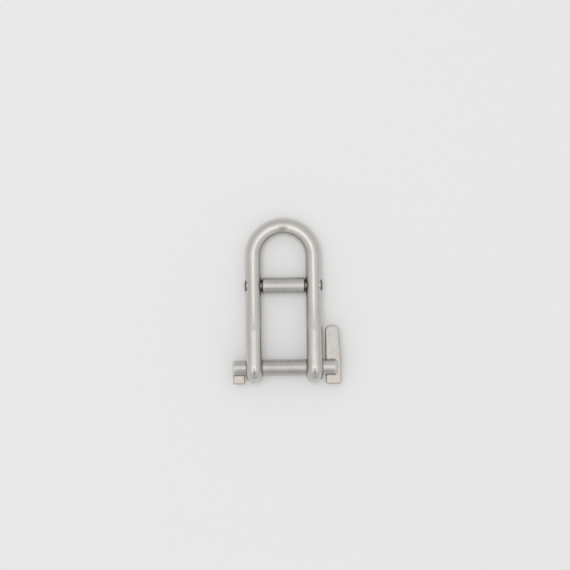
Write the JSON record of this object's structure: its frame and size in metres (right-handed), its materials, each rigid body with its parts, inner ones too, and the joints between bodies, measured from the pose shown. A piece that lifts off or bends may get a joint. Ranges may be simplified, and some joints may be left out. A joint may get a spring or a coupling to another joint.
{
  "type": "key-pin halyard shackle",
  "caption": "Long D-shaped halyard shackle of bent round rod, with a riveted cross bar between its legs and a half-turn key pin worked by a flat side handle.",
  "frame": {"origin": "on the axis of the key pin, midway between the two ears", "axes": "+X along the pin towards the handle, +Y up the legs towards the crown of the bow, +Z out of the shackle's plane"},
  "size_m": [0.0329, 0.0507, 0.0096],
  "materials": {
    "polished_stainless": "polished",
    "turned_stainless": "fine turned, tumbled",
    "stamped_stainless": "satin, stamped and tumbled"
  },
  "bodies": {
    "bow": {"bow_body": "polished_stainless", "cross_bar": "turned_stainless"},
    "key": {"key_pin": "turned_stainless", "key_handle": "stamped_stainless", "key_bit": "stamped_stainless"}
  },
  "joints": [
    {"name": "key_turn", "type": "hinge", "parent": "bow", "child": "key", "pos_m": [0, 0, 0], "axis": [1, 0, 0], "continuous": true}
  ]
}
